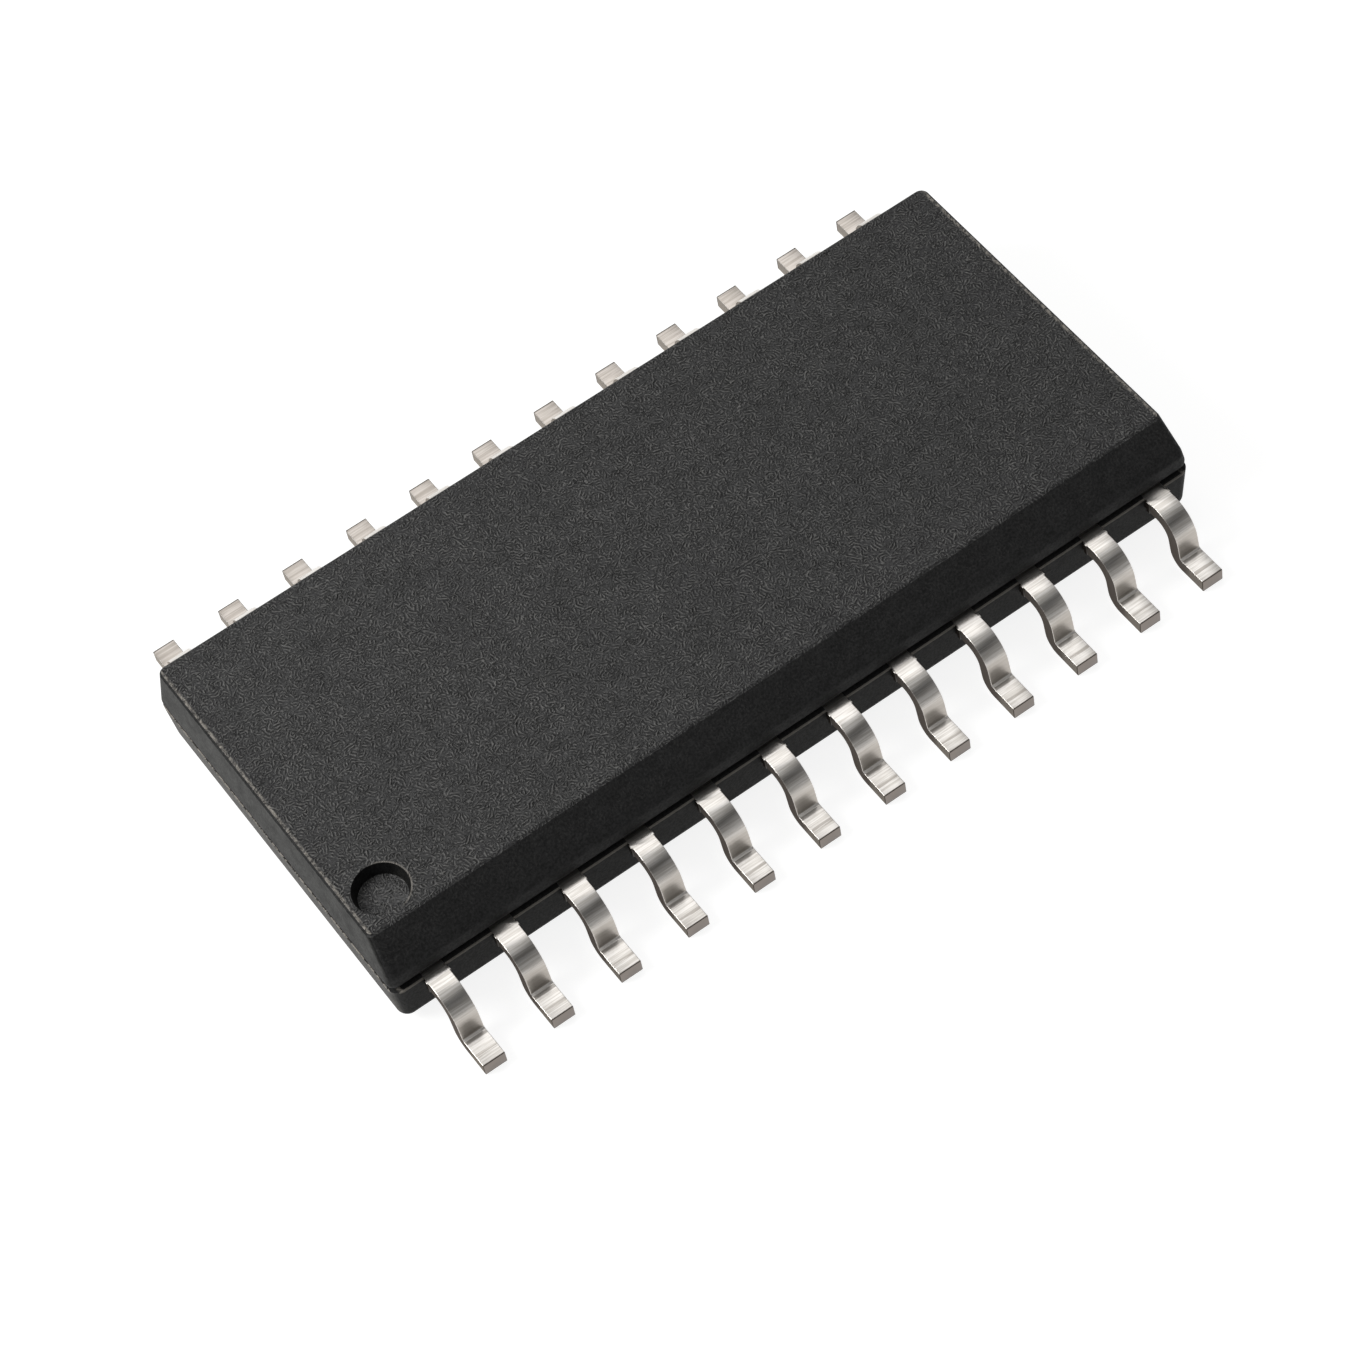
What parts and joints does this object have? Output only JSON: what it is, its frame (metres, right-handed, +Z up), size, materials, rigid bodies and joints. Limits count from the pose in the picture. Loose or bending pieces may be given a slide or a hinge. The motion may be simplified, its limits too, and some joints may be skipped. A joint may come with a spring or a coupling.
{
  "type": "small-outline integrated circuit",
  "caption": "Wide-body small-outline integrated circuit: black moulded body with a bevel and a dimple at the first lead, and gull-wing leads along both long sides.",
  "frame": {"origin": "centre of the part on the solder plane, under the middle of the body", "axes": "+X along the rows of leads, from lead 1's end of the body to the other; +Y across the body, away from the bevelled side; +Z up, from the circuit board to the top of the body"},
  "size_m": [0.0154, 0.01, 0.0019],
  "materials": {
    "mould_compound": "matte",
    "tin_plated_leads": "satin",
    "copper_frame": "satin",
    "die_glue": "matte",
    "silicon": "polished",
    "bond_wires": "polished"
  },
  "bodies": {
    "root": {"moulded_body": "mould_compound", "lead_01": "tin_plated_leads", "lead_02": "tin_plated_leads", "lead_03": "tin_plated_leads", "lead_04": "tin_plated_leads", "lead_05": "tin_plated_leads", "lead_06": "tin_plated_leads", "lead_07": "tin_plated_leads", "lead_08": "tin_plated_leads", "lead_09": "tin_plated_leads", "lead_10": "tin_plated_leads", "lead_11": "tin_plated_leads", "lead_12": "tin_plated_leads", "lead_13": "tin_plated_leads", "lead_14": "tin_plated_leads", "lead_15": "tin_plated_leads", "lead_16": "tin_plated_leads", "lead_17": "tin_plated_leads", "lead_18": "tin_plated_leads", "lead_19": "tin_plated_leads", "lead_20": "tin_plated_leads", "lead_21": "tin_plated_leads", "lead_22": "tin_plated_leads", "lead_23": "tin_plated_leads", "lead_24": "tin_plated_leads", "die_pad": "copper_frame", "die_attach": "die_glue", "die": "silicon", "bond_wire_01": "bond_wires", "bond_wire_02": "bond_wires", "bond_wire_03": "bond_wires", "bond_wire_04": "bond_wires", "bond_wire_05": "bond_wires", "bond_wire_06": "bond_wires", "bond_wire_07": "bond_wires", "bond_wire_08": "bond_wires", "bond_wire_09": "bond_wires", "bond_wire_10": "bond_wires", "bond_wire_11": "bond_wires", "bond_wire_12": "bond_wires", "bond_wire_13": "bond_wires", "bond_wire_14": "bond_wires", "bond_wire_15": "bond_wires", "bond_wire_16": "bond_wires", "bond_wire_17": "bond_wires", "bond_wire_18": "bond_wires", "bond_wire_19": "bond_wires", "bond_wire_20": "bond_wires", "bond_wire_21": "bond_wires", "bond_wire_22": "bond_wires", "bond_wire_23": "bond_wires", "bond_wire_24": "bond_wires"}
  },
  "joints": []
}
